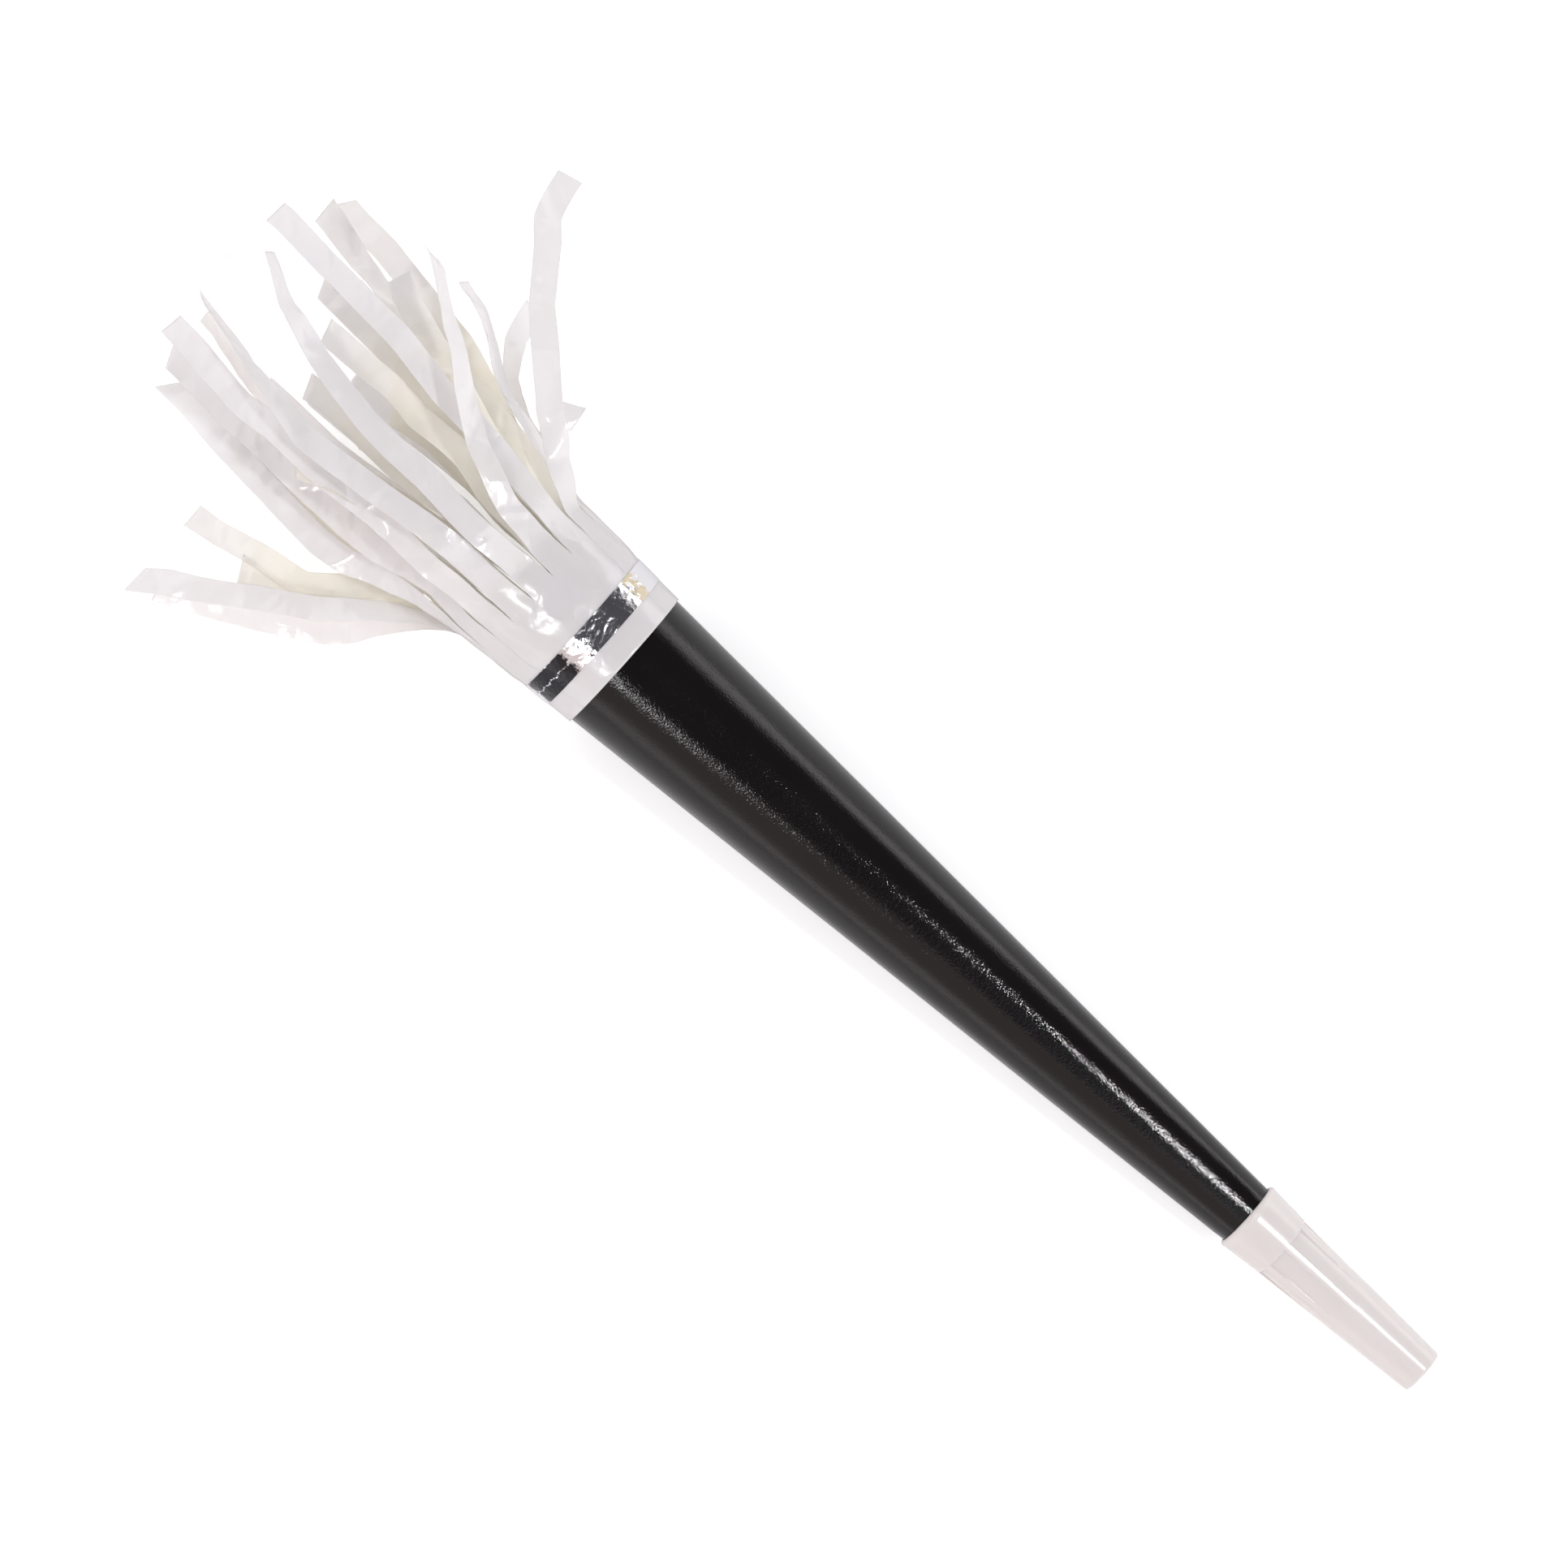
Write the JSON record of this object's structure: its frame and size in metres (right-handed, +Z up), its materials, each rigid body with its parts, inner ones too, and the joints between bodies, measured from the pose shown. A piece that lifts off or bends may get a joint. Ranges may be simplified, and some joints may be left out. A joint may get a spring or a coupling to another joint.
{
  "type": "fringed party horn",
  "caption": "Fringed party horn: a tapered black card cone with a white ribbed mouthpiece and reed, and white film fringe taped round the bell.",
  "frame": {"origin": "centre of the mouthpiece's blowing end", "axes": "+X level and along the horn towards the bell, +Z up from the surface that the horn lies on"},
  "size_m": [0.3658, 0.1349, 0.0488],
  "materials": {
    "card": "matte",
    "black_film": "gloss",
    "white_moulding": "satin",
    "reed_moulding": "matte",
    "reed_strip": "satin",
    "white_film": "satin",
    "silver_foil": "gloss"
  },
  "bodies": {
    "horn": {"cone_card": "card", "cone_skin": "black_film", "mouthpiece": "white_moulding", "reed_plug": "reed_moulding", "reed_wedge": "reed_moulding", "reed_heel": "reed_strip", "band_inner": "white_film", "band_outer": "white_film", "foil_tape": "silver_foil"},
    "reed": {"reed_tongue": "reed_strip"},
    "lock_top": {"strip_inner_50": "white_film", "strip_inner_70": "white_film", "strip_inner_90": "white_film", "strip_inner_110": "white_film", "strip_inner_130": "white_film", "strip_outer_50": "white_film", "strip_outer_70": "white_film", "strip_outer_90": "white_film", "strip_outer_110": "white_film", "strip_outer_130": "white_film"},
    "lock_left": {"strip_inner_30": "white_film", "strip_inner_10": "white_film", "strip_inner_350": "white_film", "strip_inner_330": "white_film", "strip_outer_30": "white_film", "strip_outer_10": "white_film", "strip_outer_350": "white_film", "strip_outer_330": "white_film"},
    "lock_right": {"strip_inner_150": "white_film", "strip_inner_170": "white_film", "strip_inner_190": "white_film", "strip_inner_210": "white_film", "strip_outer_150": "white_film", "strip_outer_170": "white_film", "strip_outer_190": "white_film", "strip_outer_210": "white_film"},
    "lock_under": {"strip_inner_230": "white_film", "strip_inner_250": "white_film", "strip_inner_270": "white_film", "strip_inner_290": "white_film", "strip_inner_310": "white_film", "strip_outer_230": "white_film", "strip_outer_250": "white_film", "strip_outer_270": "white_film", "strip_outer_290": "white_film", "strip_outer_310": "white_film"}
  },
  "joints": [
    {"name": "reed_flex", "type": "hinge", "parent": "horn", "child": "reed", "pos_m": [0.03255, 0, 0.00175], "axis": [0, 1, 0], "range_deg": [-3, 4], "stiffness_Nm_per_rad": 0.001},
    {"name": "fringe_top_lift", "type": "hinge", "parent": "horn", "child": "lock_top", "pos_m": [0.26324, 0, 0.03288], "axis": [0, -1, 0], "range_deg": [0, 12], "stiffness_Nm_per_rad": 0.03},
    {"name": "fringe_left_spread", "type": "hinge", "parent": "horn", "child": "lock_left", "pos_m": [0.26424, 0.01908, 0.01383], "axis": [0, 0, 1], "range_deg": [0, 12], "stiffness_Nm_per_rad": 0.03},
    {"name": "fringe_right_spread", "type": "hinge", "parent": "horn", "child": "lock_right", "pos_m": [0.26424, -0.01908, 0.01383], "axis": [0, 0, -1], "range_deg": [0, 12], "stiffness_Nm_per_rad": 0.03},
    {"name": "fringe_under_spread", "type": "hinge", "parent": "horn", "child": "lock_under", "pos_m": [0.26524, 0, -0.00523], "axis": [0, 1, 0], "range_deg": [0, 12], "stiffness_Nm_per_rad": 0.03}
  ]
}
